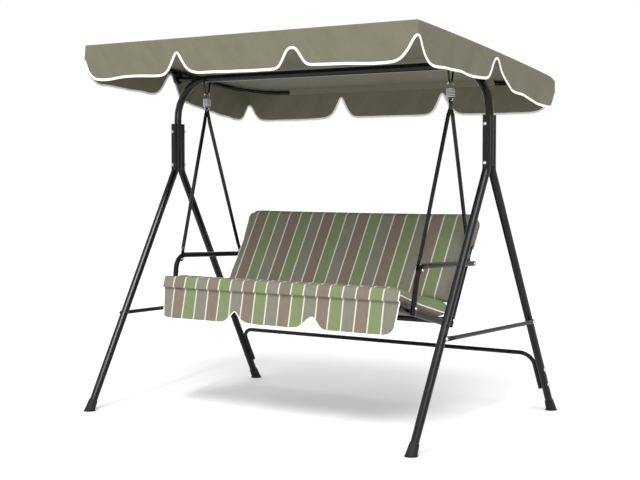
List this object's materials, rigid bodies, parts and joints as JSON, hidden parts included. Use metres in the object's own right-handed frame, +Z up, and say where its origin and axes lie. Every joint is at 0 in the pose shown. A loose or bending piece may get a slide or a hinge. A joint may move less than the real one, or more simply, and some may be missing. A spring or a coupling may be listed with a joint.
{
  "type": "canopy swing bench",
  "caption": "Garden swing bench: splayed A-frames and a bent top beam carry a tilting scalloped canopy and a cushioned seat hung from springs by V-shaped tubes.",
  "frame": {"origin": "on the ground, midway between the four feet", "axes": "+X along the seat's width, +Y towards the back, +Z up"},
  "size_m": [1.6282, 1.184, 1.521],
  "materials": {
    "steel": "satin black powder coat",
    "zinc": "zinc plated",
    "plastic": "matt black moulding",
    "canopy_cloth": "sage woven polyester with white piping",
    "sling_cloth": "sage woven polyester",
    "striped_cloth": "woven sage, taupe and green stripes parted by cream lines"
  },
  "bodies": {
    "frame": {"front_leg_left": "steel", "rear_leg_left": "steel", "front_leg_right": "steel", "rear_leg_right": "steel", "foot_front_left": "plastic", "foot_rear_left": "plastic", "foot_front_right": "plastic", "foot_rear_right": "plastic", "joint_bolt_left_upper": "zinc", "joint_bolt_left_lower": "zinc", "joint_bolt_right_upper": "zinc", "joint_bolt_right_lower": "zinc", "top_beam_left": "steel", "hanger_loop_left": "steel", "canopy_arm_left": "steel", "side_brace_left": "steel", "rear_stabilizer_left": "steel", "top_beam_right": "steel", "hanger_loop_right": "steel", "canopy_arm_right": "steel", "side_brace_right": "steel", "rear_stabilizer_right": "steel"},
    "canopy": {"canopy_side_rail_left": "steel", "canopy_bracket_left": "steel", "canopy_side_rail_right": "steel", "canopy_bracket_right": "steel", "canopy_front_rail": "steel", "canopy_rear_rail": "steel", "canopy_cover": "canopy_cloth"},
    "knob_left": {"canopy_knob_left": "plastic"},
    "knob_right": {"canopy_knob_right": "plastic"},
    "springs": {"spring_left": "zinc", "spring_right": "zinc"},
    "seat": {"hanger_front_left": "steel", "hanger_rear_left": "steel", "armrest_left": "steel", "arm_bolt_front_left": "zinc", "arm_bolt_rear_left": "zinc", "arm_foot_bolt_left": "zinc", "back_bolt_left": "zinc", "seat_side_rail_left": "steel", "back_post_left": "steel", "hanger_front_right": "steel", "hanger_rear_right": "steel", "armrest_right": "steel", "arm_bolt_front_right": "zinc", "arm_bolt_rear_right": "zinc", "arm_foot_bolt_right": "zinc", "back_bolt_right": "zinc", "seat_side_rail_right": "steel", "back_post_right": "steel", "seat_front_rail": "steel", "seat_rear_rail": "steel", "back_top_rail": "steel", "seat_sling": "sling_cloth", "back_sling": "sling_cloth", "seat_cushion": "striped_cloth", "back_cushion": "striped_cloth", "front_flap": "striped_cloth"}
  },
  "joints": [
    {"name": "canopy_tilt", "type": "hinge", "parent": "frame", "child": "canopy", "pos_m": [0, 0, 1.414], "axis": [1, 0, 0], "range_deg": [-20, 20]},
    {"name": "knob_turn_left", "type": "hinge", "parent": "frame", "child": "knob_left", "pos_m": [-0.785, 0, 1.414], "axis": [-1, 0, 0], "range_deg": [0, 180]},
    {"name": "knob_turn_right", "type": "hinge", "parent": "frame", "child": "knob_right", "pos_m": [0.785, 0, 1.414], "axis": [1, 0, 0], "range_deg": [0, 180]},
    {"name": "swing", "type": "hinge", "parent": "frame", "child": "springs", "pos_m": [0, 0, 1.348], "axis": [1, 0, 0], "range_deg": [-20, 20]},
    {"name": "bounce", "type": "slide", "parent": "springs", "child": "seat", "axis": [0, 0, 1], "range_m": [-0.04, 0.005], "stiffness_N_per_m": 41000, "springref_m": 0.00429, "deforming": ["spring_left", "spring_right"]}
  ]
}
